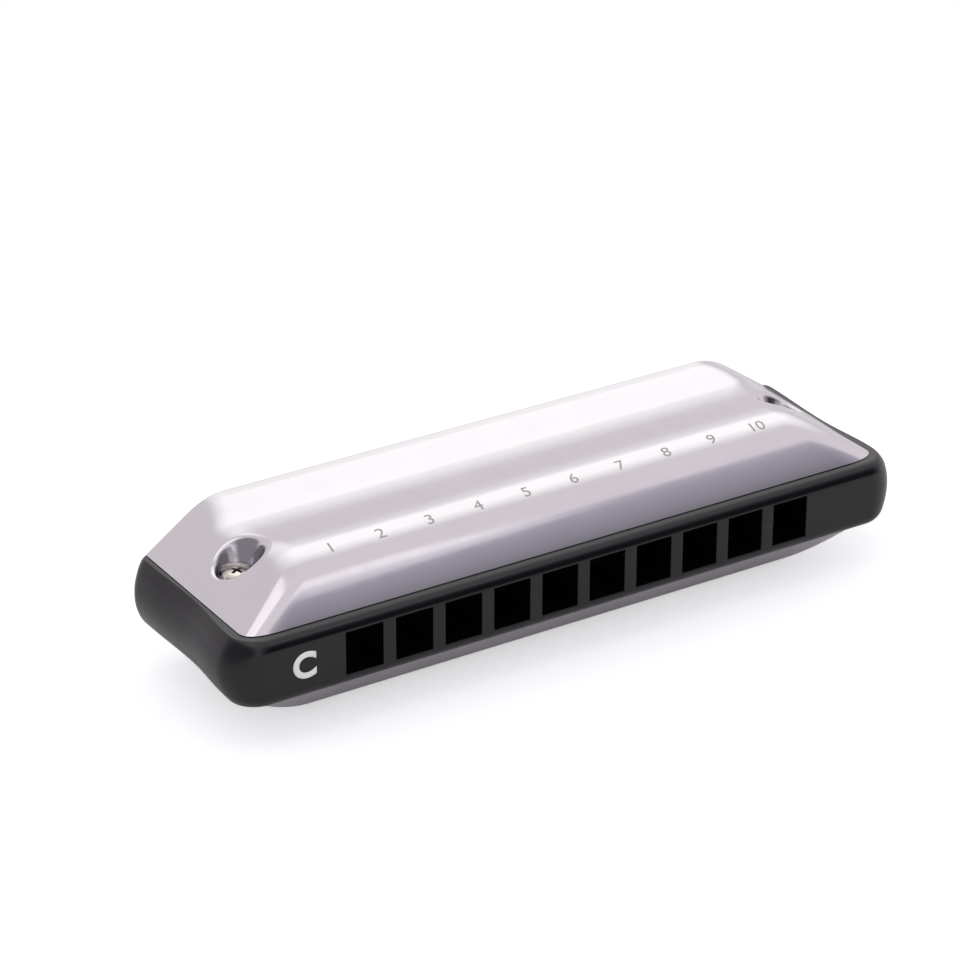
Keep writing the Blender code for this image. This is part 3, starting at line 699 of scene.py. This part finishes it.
def cover_form(comb, settings):
    """The height of a cover's foot, its half length there, and the height of its outer face above
    the middle plane as a function of x and back."""
    foot = RIM + SEAT_GAP
    sag = comb.end_barrel - math.sqrt(comb.end_barrel**2 - RIM**2)
    half = COMB_HIGH.x - comb.front_flare - sag - settings.end_ledge

    def smooth_min(a, b, rounding):
        near = max(rounding - abs(a - b), 0) / rounding
        return min(a, b) - near * near * rounding / 4

    crest = COMB_DEPTH - settings.rear_setback - settings.hem_radius - settings.rear_crest
    valley = crest - settings.valley_rise

    def height(x, back):
        reach = settings.valley_fall if back < valley else settings.valley_rise
        across = min(abs(back - valley) / reach, 1)
        dip = settings.valley_depth * (1 + math.cos(math.pi * across)) / 2
        crown = foot + settings.crown - dip
        front = foot + math.tan(settings.front_slope) * (back - settings.front_ledge)
        end = foot + math.tan(settings.end_slope) * (half - abs(x))
        rise = smooth_min(front, crown, settings.front_rounding)
        near = min(max(1 - (back - settings.front_ledge) / settings.corner_reach, 0), 1)
        return smooth_min(rise, end, settings.end_rounding + settings.corner_rounding * near)

    return foot, half, height


# Round a screw the skin's grid is left out over a square of this half width and this many cells
# a side, and made good in rings from this radius inwards.
PATCH = 0.0052
PATCH_CELLS = 32
PATCH_RADIUS = 0.0048
# How far the skin runs on past its foot before it is trimmed.
SKIRT = 0.0012
# How far the floor of a dimple stands clear above the comb and one thickness of sheet.
DIMPLE_GAP = 0.00002


def stations(*stretches):
    """Grid lines: each stretch is (start, end, steps), and the next starts where it ends."""
    lines = [stretches[0][0]]
    for start, end, steps in stretches:
        lines += [start + (end - start) * step / steps for step in range(1, steps + 1)]
    return lines


def between(start, end, steps):
    """Points from the first to the last, without the first."""
    return [start.lerp(end, step / steps) for step in range(1, steps + 1)]


def rounded(start, corner, end, steps):
    """Points on the curve that rounds a corner, without the first."""
    points = []
    for step in range(1, steps + 1):
        t = step / steps
        points.append(start * (1 - t) ** 2 + corner * 2 * t * (1 - t) + end * t * t)
    return points


def dimple_profile(settings, surface, floor):
    """(radius, height) points from the open surface down a dimple's side to its screw hole."""
    lean = settings.dimple_wall
    rim = settings.dimple_floor
    for _ in range(20):
        rim = settings.dimple_floor + (surface(rim) - floor) * math.tan(lean)
    brow, fillet = settings.dimple_brow, 0.0003
    up = Vector((math.sin(lean), math.cos(lean)))
    corner = Vector((rim, surface(rim)))
    shoulder = Vector((rim + brow, surface(rim + brow)))
    foot_corner = Vector((settings.dimple_floor, floor))
    foot_top = foot_corner + up * fillet
    wall_top = corner - up * brow
    floor_edge = foot_corner - Vector((fillet, 0))
    radii = [PATCH_RADIUS + (shoulder.x - PATCH_RADIUS) * step / 5 for step in range(1, 6)]
    profile = [Vector((radius, surface(radius))) for radius in radii]
    profile += rounded(shoulder, corner, wall_top, 7)
    profile += between(wall_top, foot_top, 4)
    profile += rounded(foot_top, foot_corner, floor_edge, 5)
    return profile + between(floor_edge, Vector((settings.screw_hole, floor)), 2)


def press_dimple(bm, settings, centre_x, height, floor):
    """Opens the skin round a screw and draws it down to the dimple's floor, ring by ring."""
    inside = [
        face
        for face in bm.faces
        if abs(face.calc_center_median().x - centre_x) < PATCH
        and abs(face.calc_center_median().y - FRONT_Y - SCREW_BACK) < PATCH
    ]
    bmesh.ops.delete(bm, geom=inside, context="FACES")
    square = [
        edge
        for edge in bm.edges
        if edge.is_boundary
        and all(abs(v.co.x - centre_x) < PATCH * 1.01 for v in edge.verts)
        and all(abs(v.co.y - FRONT_Y - SCREW_BACK) < PATCH * 1.01 for v in edge.verts)
    ]
    centre = Vector((centre_x, FRONT_Y + SCREW_BACK, 0))
    made = bmesh.ops.create_circle(
        bm, segments=len(square), radius=PATCH_RADIUS, matrix=Matrix.Translation(centre)
    )
    ring = list(dict.fromkeys(edge for vert in made["verts"] for edge in vert.link_edges))
    count = len(square)
    profiles = {}

    def bearing(vert):
        """Which of the ring's places a point stands at, counted round from +X."""
        turn = math.atan2(vert.co.y - centre.y, vert.co.x - centre.x)
        return round(turn / math.tau * count) % count

    for vert in made["verts"]:
        turn = bearing(vert) * math.tau / count

        def surface(radius):
            x = centre_x + radius * math.cos(turn)
            return height(x, SCREW_BACK + radius * math.sin(turn))

        profiles[bearing(vert)] = dimple_profile(settings, surface, floor)
        vert.co.z = surface(PATCH_RADIUS)
    bmesh.ops.bridge_loops(bm, edges=square + ring)
    for depth in range(len(profiles[0])):
        fresh, ring = extended(bm, ring)
        for vert in fresh:
            place = bearing(vert)
            turn = place * math.tau / count
            radius, z = profiles[place][depth]
            vert.co = (centre_x + radius * math.cos(turn), centre.y + radius * math.sin(turn), z)


def trimmed(bm, height):
    """Cuts off all that lies below a height. Gives the edges of the cut."""
    whole = bm.verts[:] + bm.edges[:] + bm.faces[:]
    level_plane = {"plane_co": (0, 0, height), "plane_no": (0, 0, -1)}
    cut = bmesh.ops.bisect_plane(bm, geom=whole, dist=TINY / 10, clear_outer=True, **level_plane)
    return edges_in(cut["geom_cut"])


def cover_skin(comb, settings):
    """The outer face of a cover as an open surface, with its dimples and turned-down rear edge."""
    foot, half, height = cover_form(comb, settings)
    outer = half + SKIRT
    hip = half - (settings.crown + settings.end_rounding) / math.tan(settings.end_slope)
    rear = COMB_DEPTH - settings.rear_setback - settings.hem_radius
    near, far = SCREW_X - PATCH, SCREW_X + PATCH
    right = ((hip, near, 4), (near, far, PATCH_CELLS), (far, outer, 7))
    left = tuple((-end, -start, steps) for start, end, steps in reversed(right))
    across = stations(*left, (-hip, hip, 24), *right)
    along = stations(
        (settings.front_ledge - SKIRT, SCREW_BACK - PATCH, 30),
        (SCREW_BACK - PATCH, SCREW_BACK + PATCH, PATCH_CELLS),
        (SCREW_BACK + PATCH, rear, 30),
    )
    bm = bmesh.new()
    columns, rows = len(across) - 1, len(along) - 1
    bmesh.ops.create_grid(bm, x_segments=columns, y_segments=rows, size=0.5)
    for vert in bm.verts:
        x = across[round((vert.co.x + 0.5) * columns)]
        back = along[round((vert.co.y + 0.5) * rows)]
        vert.co = (x, FRONT_Y + back, height(x, back))
    # The rear edge turns down over its bend radius, then runs straight.
    edge = [e for e in bm.edges if all(abs(v.co.y - FRONT_Y - rear) < TINY for v in e.verts)]
    turns = [math.radians(90 * step / 8) for step in range(9)]
    radius = settings.hem_radius
    steps = [
        (radius * (math.sin(b) - math.sin(a)), radius * (math.cos(b) - math.cos(a)))
        for a, b in zip(turns, turns[1:])
    ]
    for outwards, down in steps + [(0, -settings.hem_length / 3)] * 3:
        fresh, edge = extended(bm, edge)
        bmesh.ops.translate(bm, vec=(0, outwards, down), verts=list(fresh))
    floor = foot + settings.sheet + DIMPLE_GAP
    for centre_x in (-SCREW_X, SCREW_X):
        press_dimple(bm, settings, centre_x, height, floor)
    bmesh.ops.recalc_face_normals(bm, faces=bm.faces)
    if sum(face.normal.z * face.calc_area() for face in bm.faces) < 0:
        bmesh.ops.reverse_faces(bm, faces=bm.faces)
    trimmed(bm, foot - settings.sheet)
    return mesh_from(bm, "cover_skin")


def cover_sheet(comb, settings):
    """A whole cover, of sheet thickness, trimmed flat where it stands on the comb."""
    skin = guide_object("cover_skin", cover_skin(comb, settings))
    sheet = skin.modifiers.new("sheet", "SOLIDIFY")
    sheet.thickness = settings.sheet
    sheet.offset = -1
    sheet.use_even_offset = True
    mesh = applied(skin, "cover_sheet")
    bm = bmesh.new()
    bm.from_mesh(mesh)
    bmesh.ops.edgeloop_fill(bm, edges=trimmed(bm, RIM + SEAT_GAP))
    bmesh.ops.recalc_face_normals(bm, faces=bm.faces)
    bm.to_mesh(mesh)
    bm.free()
    shade_round(mesh, 40)
    return mesh


def turned(profile, sides):
    """(radius, height) points, top to bottom, spun about Z into a closed shape."""
    bm = bmesh.new()
    points = [bm.verts.new((radius, 0, height)) for radius, height in profile]
    edges = [bm.edges.new(pair) for pair in zip(points, points[1:])]
    bmesh.ops.spin(
        bm,
        geom=points + edges,
        cent=(0, 0, 0),
        axis=(0, 0, 1),
        angle=math.tau,
        steps=sides,
        use_merge=True,
    )
    bmesh.ops.remove_doubles(bm, verts=bm.verts, dist=TINY)
    bmesh.ops.recalc_face_normals(bm, faces=bm.faces)
    return bm


def dome(radius, low, high, steps=8):
    """A shallow domed top from the middle out to a radius, top first."""
    turns = [math.radians(90 * step / steps) for step in range(steps + 1)]
    return [(radius * math.sin(turn), low + (high - low) * math.cos(turn)) for turn in turns]


def screw_mesh(head_radius, head_height, radius, length, sides):
    """A pan-head screw, seat at the origin and pointing down, with a tapered cross recess."""
    side = head_height * 0.45
    profile = dome(head_radius * 0.93, side + head_height * 0.12, head_height)
    profile += [(head_radius, side), (head_radius, head_height * 0.08)]
    profile += [(head_radius * 0.95, 0), (radius, 0), (radius, radius * 0.6 - length)]
    profile += [(radius * 0.5, -length), (0, -length)]
    bm = turned(profile, sides)
    blank = mesh_from(bm, "screw")
    arms = []
    for turn in (Matrix(), Matrix.Rotation(math.pi / 2, 4, "Z")):
        arm = (head_radius * 1.24, head_radius * 0.26, head_height * 1.3)
        bm = box(arm, (0, 0, 0))
        bottom = [vert for vert in bm.verts if vert.co.z < 0]
        bmesh.ops.scale(bm, vec=(0.45, 0.75, 1), verts=bottom)
        bm.transform(Matrix.Translation((0, 0, head_height)) @ turn)
        arms.append(mesh_from(bm, "recess_arm"))
    mesh = carved(blank, arms)
    shade_round(mesh, 30)
    return mesh


def copied(mesh, name, *steps):
    """A copy of a mesh, moved by each matrix in turn."""
    copy = mesh.copy()
    copy.name = name
    for step in steps:
        copy.transform(step)
    return copy


# Size of type to height of capital, and where its grid is cut, off the corners of the type.
TYPE_SIZE = 1.38
GRID_SHIFT = 0.37
# The hole numbers are this much flatter than the type, and the key letter's strokes this much
# thicker on each side.
NUMBER_FLATNESS = 0.82
LETTER_WEIGHT = 0.00019


def lettering(text, height, bold=0):
    """Flat lettering in small cells, so that it can follow a curved surface."""
    size = height * TYPE_SIZE
    curve = bpy.data.curves.new("lettering", "FONT")
    curve.body = text
    curve.size = size
    curve.align_x = curve.align_y = "CENTER"
    curve.offset = bold
    curve.resolution_u = 8
    mesh = applied(guide_object("lettering", curve), "lettering")
    bm = bmesh.new()
    bm.from_mesh(mesh)
    bmesh.ops.remove_doubles(bm, verts=bm.verts, dist=TINY)
    cell = size / 8
    for axis in range(2):
        reach = max(abs(vert.co[axis]) for vert in bm.verts)
        count = int(reach / cell)
        for step in range(-count, count + 1):
            plane, normal = Vector((0, 0, 0)), Vector((0, 0, 0))
            plane[axis], normal[axis] = (step + GRID_SHIFT) * cell, 1
            whole = bm.verts[:] + bm.edges[:] + bm.faces[:]
            cut = {"plane_co": plane, "plane_no": normal}
            bmesh.ops.bisect_plane(bm, geom=whole, dist=TINY / 10, **cut)
    return bm


def printed(bm, name, film, laid):
    """Flat lettering as a film of ink. laid gives the place of x, y and a height above the face."""
    made = bmesh.ops.extrude_face_region(bm, geom=bm.faces[:])
    raised = verts_in(made["geom"])
    for vert in bm.verts:
        vert.co = laid(vert.co.x, vert.co.y, film if vert in raised else -film)
    bmesh.ops.recalc_face_normals(bm, faces=bm.faces)
    return mesh_from(bm, name)


class HARMONICA_OT_comb(bpy.types.Operator):
    """Moulds the comb: ten rounded mouth holes, chambers, plate pockets and screw holes"""

    bl_idname = "harmonica.comb"
    bl_label = "Comb"

    def execute(self, context):
        settings = context.scene.harmonica_comb
        cutters = [chamber_cutter(settings, hole) for hole in range(HOLES)]
        cutters += [pocket_cutter("upper_reed_plate", 1), pocket_cutter("lower_reed_plate", -1)]
        for end in (-1, 1):
            cutters.append(drill(end * SCREW_X, FRONT_Y + SCREW_BACK, THROUGH_RADIUS))
        for number in range(1, 6):
            x, y = centre_of(f"upper_plate_screw_{number}")
            cutters.append(drill(x, y, TAPPED_RADIUS, 16))
        mesh = carved(comb_block(settings), cutters)
        mesh.transform(Matrix.Translation((0, 0, MIDDLE_Z)))
        shade_round(mesh, 30)
        piece = seat("comb_moulding", mesh, moulded_abs(settings), ["comb"])
        weighted = piece.modifiers.new("flat_faces_lead", "WEIGHTED_NORMAL")
        weighted.keep_sharp = True
        return {"FINISHED"}


class HARMONICA_OT_covers(bpy.types.Operator):
    """Presses the two covers from sheet. The lower one is the same pressing, turned over"""

    bl_idname = "harmonica.covers"
    bl_label = "Covers"

    def execute(self, context):
        settings = context.scene.harmonica_covers
        steel = polished_sheet(settings)
        mesh = cover_sheet(context.scene.harmonica_comb, settings)
        lift = Matrix.Translation((0, 0, MIDDLE_Z))
        over = Matrix.Rotation(math.pi, 4, "Y")
        upper = copied(mesh, "upper_cover_sheet", lift)
        lower = copied(mesh, "lower_cover_sheet", over, lift)
        seat("upper_cover_sheet", upper, steel, ["upper_cover"])
        seat("lower_cover_sheet", lower, steel, ["lower_cover"])
        return {"FINISHED"}


class HARMONICA_OT_reeds(bpy.types.Operator):
    """Finishes the reed plates and the reeds in brass"""

    bl_idname = "harmonica.reeds"
    bl_label = "Reed plates and reeds"

    def execute(self, context):
        settings = context.scene.harmonica_reeds
        plate, reed = rolled_brass(settings), ground_brass(settings)
        for name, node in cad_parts.items():
            brass = plate if name.endswith("reed_plate") else reed if "_reed_" in name else None
            if brass:
                node.data.materials.clear()
                node.data.materials.append(brass)
        return {"FINISHED"}


class HARMONICA_OT_rivets(bpy.types.Operator):
    """Heads a brass rivet through the root of every reed"""

    bl_idname = "harmonica.rivets"
    bl_label = "Rivets"

    def execute(self, context):
        settings = context.scene.harmonica_fasteners
        brass = headed_brass(settings)
        low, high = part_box("blow_rivet_01")
        tall, radius = high.z - low.z, (high.x - low.x) / 2
        shank, head, tail = radius * 0.55, 0.00035, 0.000245
        profile = [(r, tall - tail + z) for r, z in dome(radius, 0, tail)]
        profile += [(shank, tall - tail), (shank, head)]
        profile += [(r, head - z) for r, z in reversed(dome(radius, 0, head))]
        bm = turned(profile, settings.sides // 2)
        mesh = mesh_from(bm, "rivet")
        shade_round(mesh, 40)
        for name in sorted(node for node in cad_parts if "_rivet_" in node):
            x, y = centre_of(name)
            place = Matrix.Translation((x, y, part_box(name)[0].z))
            seat(f"{name}_headed", copied(mesh, name, place), brass, [name])
        return {"FINISHED"}


class HARMONICA_OT_screws(bpy.types.Operator):
    """Turns the cover screws, their nuts and the reed plate screws"""

    bl_idname = "harmonica.screws"
    bl_label = "Screws and nuts"

    def execute(self, context):
        settings = context.scene.harmonica_fasteners
        steel = plated_steel(settings)
        low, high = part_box("cover_screw_left")
        long = high.z - low.z - settings.head_height
        cover = screw_mesh(
            settings.head_radius, settings.head_height, settings.shank_radius, long, settings.sides
        )
        for end in ("left", "right"):
            node = f"cover_screw_{end}"
            x, y = centre_of(node)
            place = Matrix.Translation((x, y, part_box(node)[1].z - settings.head_height))
            turn = Matrix.Rotation(SCREW_TURN, 4, "Z")
            seat(f"{node}_plated", copied(cover, node, turn, place), steel, [node])
            node = f"cover_nut_{end}"
            low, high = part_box(node)
            place = Matrix.Translation((x, y, (low.z + high.z) / 2))
            nut = self.nut(settings, high.z - low.z)
            seat(f"{node}_plated", copied(nut, node, place), steel, [node])
        low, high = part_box("upper_plate_screw_1")
        long = high.z - low.z - SMALL_HEAD_HEIGHT
        small = screw_mesh(SMALL_HEAD_RADIUS, SMALL_HEAD_HEIGHT, SMALL_SHANK_RADIUS, long, 24)
        for side in ("upper", "lower"):
            for number in range(1, 6):
                node = f"{side}_plate_screw_{number}"
                x, y = centre_of(node)
                low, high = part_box(node)
                place = Matrix.Translation((x, y, high.z - SMALL_HEAD_HEIGHT))
                if side == "lower":
                    over = Matrix.Rotation(math.pi, 4, "X")
                    place = Matrix.Translation((x, y, low.z + SMALL_HEAD_HEIGHT)) @ over
                mesh = copied(small, node, Matrix.Rotation(number, 4, "Z"), place)
                seat(f"{node}_plated", mesh, steel, [node])
        return {"FINISHED"}

    def nut(self, settings, thickness):
        """A hexagon nut with its corners turned off and a bore for the screw."""
        corner = settings.nut_flats / 2 / math.cos(math.pi / 6)
        bm = bmesh.new()
        bmesh.ops.create_cone(
            bm, cap_ends=True, segments=6, radius1=corner, radius2=corner, depth=thickness
        )
        caps = [e for e in bm.edges if abs(e.verts[0].co.z - e.verts[1].co.z) < TINY]
        bmesh.ops.bevel(
            bm, geom=caps, offset=NUT_EDGE, segments=3, profile=0.5, affect="EDGES", material=-1
        )
        blank = mesh_from(bm, "nut")
        mesh = carved(blank, [drill(0, 0, settings.shank_radius + SEAT_GAP)])
        shade_round(mesh, 30)
        return mesh


class HARMONICA_OT_marks(bpy.types.Operator):
    """Prints the hole numbers on the upper cover and the key letter on the comb"""

    bl_idname = "harmonica.marks"
    bl_label = "Numbers and key letter"

    def execute(self, context):
        settings = context.scene.harmonica_marks
        comb = context.scene.harmonica_comb
        height = cover_form(comb, context.scene.harmonica_covers)[2]
        grey = pad_print("pad_print_grey", settings.number_ink)
        white = pad_print("pad_print_white", settings.letter_ink)
        for hole in range(HOLES):

            def on_cover(x, y, above):
                x, back = x + hole_x(comb, hole), y * NUMBER_FLATNESS + settings.number_back
                return x, FRONT_Y + back, MIDDLE_Z + height(x, back) + above

            number = lettering(str(hole + 1), settings.number_size)
            mesh = printed(number, f"hole_number_{hole + 1:02d}", settings.film, on_cover)
            seat(mesh.name, mesh, grey, [])

        def on_comb(x, y, above):
            return x + settings.letter_x, FRONT_Y - above, MIDDLE_Z + y

        letter = lettering("C", settings.letter_size, LETTER_WEIGHT)
        mesh = printed(letter, "key_letter", settings.film, on_comb)
        seat(mesh.name, mesh, white, [])
        return {"FINISHED"}


class HARMONICA_OT_stage(bpy.types.Operator):
    """Lays the floor and sets the lamps, the surroundings and the camera"""

    bl_idname = "harmonica.stage"
    bl_label = "Stage"

    def execute(self, context):
        settings = context.scene.harmonica_stage
        bm = bmesh.new()
        bmesh.ops.create_circle(bm, cap_ends=True, segments=96, radius=settings.floor_reach)
        floor = guide_object("floor", mesh_from(bm, "floor"))
        floor.data.materials.append(floor_paper(settings))
        self.lamp("top_softbox", *TOP_SOFTBOX, settings.top_power)
        self.lamp("edge_softbox", *EDGE_SOFTBOX, settings.edge_power)
        self.surroundings(context)
        camera = bpy.data.objects.new("camera", bpy.data.cameras.new("camera"))
        context.scene.collection.objects.link(camera)
        camera.location = CAMERA_PLACE
        camera.rotation_euler = [math.radians(turn) for turn in CAMERA_TURN]
        camera.data.sensor_width = 36
        camera.data.lens = CAMERA_LENS
        camera.data.clip_start, camera.data.clip_end = 0.01, 20
        context.scene.camera = camera
        context.scene.view_settings.view_transform = "Standard"
        return {"FINISHED"}

    def lamp(self, name, place, size, power):
        """A square softbox that looks at the object."""
        light = bpy.data.lights.new(name, "AREA")
        light.shape = "SQUARE"
        light.size = size
        light.energy = power
        lamp = guide_object(name, light)
        lamp.location = place
        lamp.rotation_euler = (-Vector(place)).to_track_quat("-Z", "Y").to_euler()

    def surroundings(self, context):
        """A white studio for the camera, an even one for its light, and a shaped one for metal."""
        settings = context.scene.harmonica_stage
        world = bpy.data.worlds.new("studio")
        world.use_nodes = True
        context.scene.world = world
        tree = world.node_tree
        tree.nodes.clear()
        way = add_node(tree, "ShaderNodeTexCoord").outputs["Generated"]
        inwards = add_node(
            tree, "ShaderNodeVectorMath", {0: way, 1: DOORWAY}, operation="DOT_PRODUCT"
        )
        walls = add_node(tree, "ShaderNodeValToRGB", {"Fac": inwards.outputs["Value"]})
        stops = walls.color_ramp.elements
        for place, _ in DOORWAY_STOPS[1:-1]:
            stops.new(place)
        for stop, (place, hue) in zip(stops, DOORWAY_STOPS):
            stop.position = place
            stop.color = linear(hue)
        hues = walls.outputs["Color"]
        for middle, start, end, hue in (DIM_SIDE, GLOW):
            towards = add_node(
                tree, "ShaderNodeVectorMath", {0: way, 1: middle}, operation="DOT_PRODUCT"
            )
            near = add_node(
                tree,
                "ShaderNodeMapRange",
                {"Value": towards.outputs["Value"], "From Min": start, "From Max": end},
            )
            mixed = add_node(
                tree,
                "ShaderNodeMix",
                {"Factor": near.outputs[0], 6: hues, 7: linear(hue)},
                data_type="RGBA",
            )
            hues = mixed.outputs[2]
        light = {"Color": hues, "Strength": settings.mirrored}
        shaped = add_node(tree, "ShaderNodeBackground", light)
        light = {"Color": WHITE, "Strength": settings.room}
        even = add_node(tree, "ShaderNodeBackground", light)
        white = add_node(tree, "ShaderNodeBackground", {"Color": WHITE, "Strength": 1.0})
        ray = add_node(tree, "ShaderNodeLightPath")
        glossy = {0: ray.outputs["Is Glossy Ray"], 1: even.outputs[0], 2: shaped.outputs[0]}
        room = add_node(tree, "ShaderNodeMixShader", glossy)
        camera = {0: ray.outputs["Is Camera Ray"], 1: room.outputs[0], 2: white.outputs[0]}
        mix = add_node(tree, "ShaderNodeMixShader", camera)
        add_node(tree, "ShaderNodeOutputWorld", {"Surface": mix.outputs[0]})


class HARMONICA_PT_panel(bpy.types.Panel):
    """Lists the harmonica's pieces and the stage"""

    bl_idname = "HARMONICA_PT_panel"
    bl_label = "Harmonica"
    bl_space_type = "VIEW_3D"
    bl_region_type = "UI"
    bl_category = "Harmonica"

    def draw(self, context):
        for operator in OPERATORS:
            self.layout.operator(operator.bl_idname)


SETTINGS = {
    "harmonica_comb": HarmonicaCombSettings,
    "harmonica_covers": HarmonicaCoverSettings,
    "harmonica_fasteners": HarmonicaFastenerSettings,
    "harmonica_reeds": HarmonicaReedSettings,
    "harmonica_marks": HarmonicaMarkSettings,
    "harmonica_stage": HarmonicaStageSettings,
}
OPERATORS = (
    HARMONICA_OT_comb,
    HARMONICA_OT_covers,
    HARMONICA_OT_reeds,
    HARMONICA_OT_rivets,
    HARMONICA_OT_screws,
    HARMONICA_OT_marks,
    HARMONICA_OT_stage,
)


def register():
    for group in (*SETTINGS.values(), *OPERATORS, HARMONICA_PT_panel):
        bpy.utils.register_class(group)
    for name, group in SETTINGS.items():
        setattr(bpy.types.Scene, name, PointerProperty(type=group))


def unregister():
    for name in SETTINGS:
        delattr(bpy.types.Scene, name)
    for group in (*SETTINGS.values(), *OPERATORS, HARMONICA_PT_panel):
        bpy.utils.unregister_class(group)


def main():
    register()
    bpy.ops.harmonica.comb()
    bpy.ops.harmonica.covers()
    bpy.ops.harmonica.reeds()
    bpy.ops.harmonica.rivets()
    bpy.ops.harmonica.screws()
    bpy.ops.harmonica.marks()
    bpy.ops.harmonica.stage()


if __name__ == "__main__":
    main()
